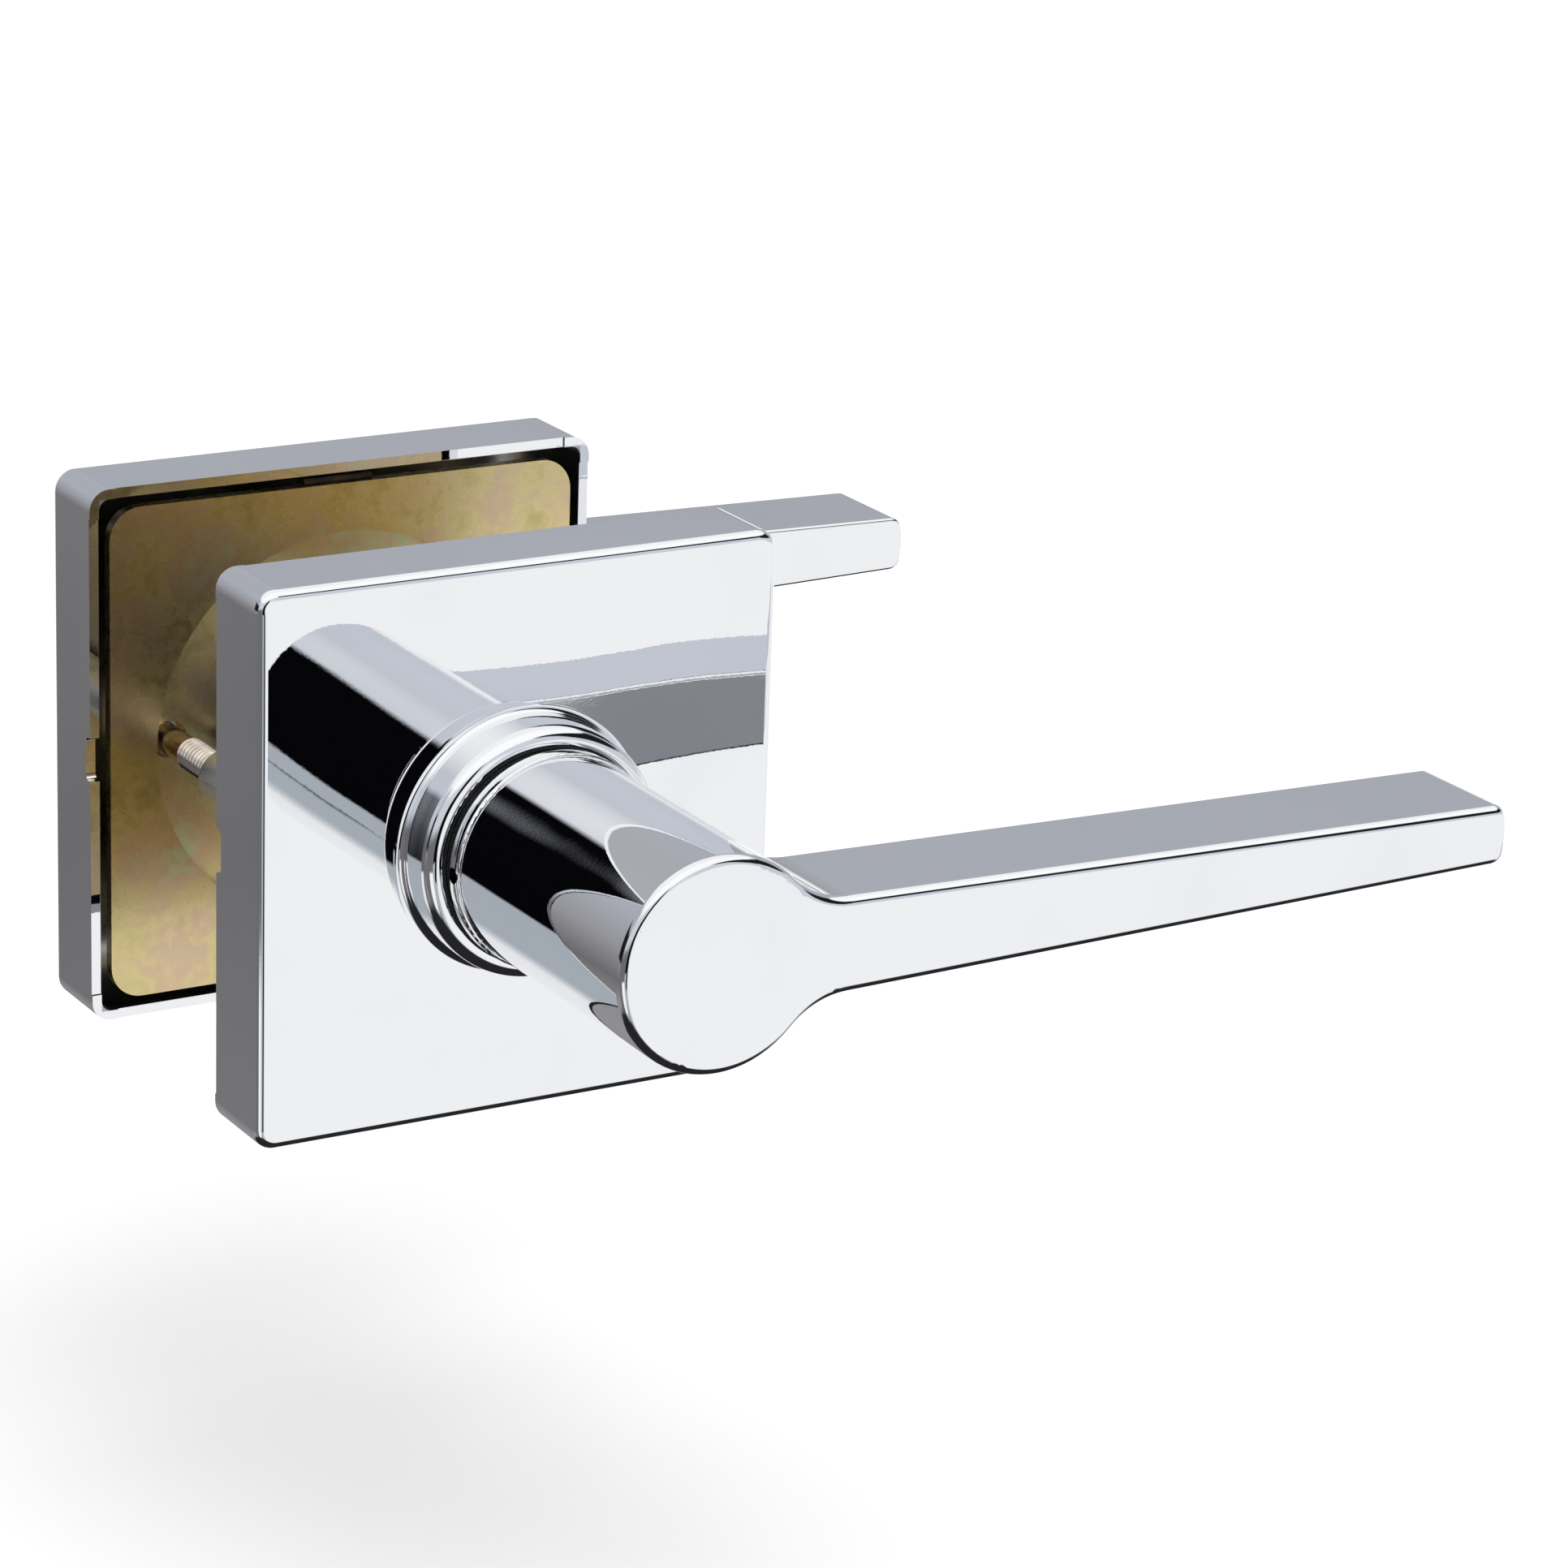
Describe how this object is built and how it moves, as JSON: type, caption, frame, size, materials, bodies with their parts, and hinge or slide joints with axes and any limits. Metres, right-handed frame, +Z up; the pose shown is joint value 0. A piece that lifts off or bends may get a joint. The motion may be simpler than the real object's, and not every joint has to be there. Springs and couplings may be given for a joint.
{
  "type": "door lever handle",
  "caption": "Pair of square-rose passage door levers, back to back on a shared spindle, with return springs, lever catches and through screws.",
  "frame": {"origin": "on the spindle axis, in the plane of the door's outside face, where the outside trim seats", "axes": "+Y along the spindle from the outside face to the inside face, +Z up, +X along both levers towards their tips"},
  "size_m": [0.1384, 0.151, 0.066],
  "materials": {
    "bright_plating": "polished bright plating over a zinc casting or pressed sheet",
    "yellow_zinc": "yellow passivated zinc plate on pressed steel",
    "clear_zinc": "clear passivated zinc plate on pressed steel",
    "turned_steel": "turned and milled bare steel, lightly oiled",
    "spring_steel": "drawn spring wire and spring strip",
    "sintered_bronze": "oil-filled sintered bronze",
    "nylon": "moulded black nylon",
    "nickel_screw": "nickel-plated machine screw"
  },
  "bodies": {
    "root": {"outside_rose_cover": "bright_plating", "outside_rose_collar": "bright_plating", "outside_neck_bush": "nylon", "outside_mounting_plate": "yellow_zinc", "outside_bearing_bush": "sintered_bronze", "outside_thrust_washer": "clear_zinc", "outside_spring_cage": "clear_zinc", "outside_return_spring": "spring_steel", "outside_rose_clips": "spring_steel", "inside_rose_cover": "bright_plating", "inside_rose_collar": "bright_plating", "inside_neck_bush": "nylon", "inside_mounting_plate": "yellow_zinc", "inside_bearing_bush": "sintered_bronze", "inside_thrust_washer": "clear_zinc", "inside_spring_cage": "clear_zinc", "inside_return_spring": "spring_steel", "inside_rose_clips": "spring_steel", "screw_posts": "clear_zinc", "through_screws": "nickel_screw"},
    "outside_lever": {"outside_lever": "bright_plating", "outside_drive_sleeve": "turned_steel", "outside_catch_spring": "spring_steel", "outside_retaining_ring": "spring_steel", "outside_spring_driver": "clear_zinc", "spindle": "turned_steel"},
    "inside_lever": {"inside_lever": "bright_plating", "inside_drive_sleeve": "turned_steel", "inside_catch_spring": "spring_steel", "inside_retaining_ring": "spring_steel", "inside_spring_driver": "clear_zinc"},
    "outside_catch": {"outside_lever_catch": "turned_steel"},
    "inside_catch": {"inside_lever_catch": "turned_steel"}
  },
  "joints": [
    {"name": "outside_lever_turn", "type": "hinge", "parent": "root", "child": "outside_lever", "pos_m": [0, 0, 0], "axis": [0, 1, 0], "range_deg": [-45, 45], "stiffness_Nm_per_rad": 1.5, "springref_deg": -2.1, "deforming": ["outside_return_spring"]},
    {"name": "inside_lever_turn", "type": "hinge", "parent": "root", "child": "inside_lever", "pos_m": [0, 0, 0], "axis": [0, 1, 0], "range_deg": [-45, 45], "stiffness_Nm_per_rad": 1.5, "springref_deg": -2.1, "deforming": ["inside_return_spring"]},
    {"name": "outside_catch_press", "type": "slide", "parent": "outside_lever", "child": "outside_catch", "axis": [1, 0, 0], "range_m": [0, 0.0018], "stiffness_N_per_m": 2000, "springref_m": -0.001, "deforming": ["outside_catch_spring"]},
    {"name": "inside_catch_press", "type": "slide", "parent": "inside_lever", "child": "inside_catch", "axis": [1, 0, 0], "range_m": [0, 0.0018], "stiffness_N_per_m": 2000, "springref_m": -0.001, "deforming": ["inside_catch_spring"]}
  ],
  "couplings": [
    {"joint": "inside_lever_turn", "follows": "outside_lever_turn", "ratio": 1}
  ]
}
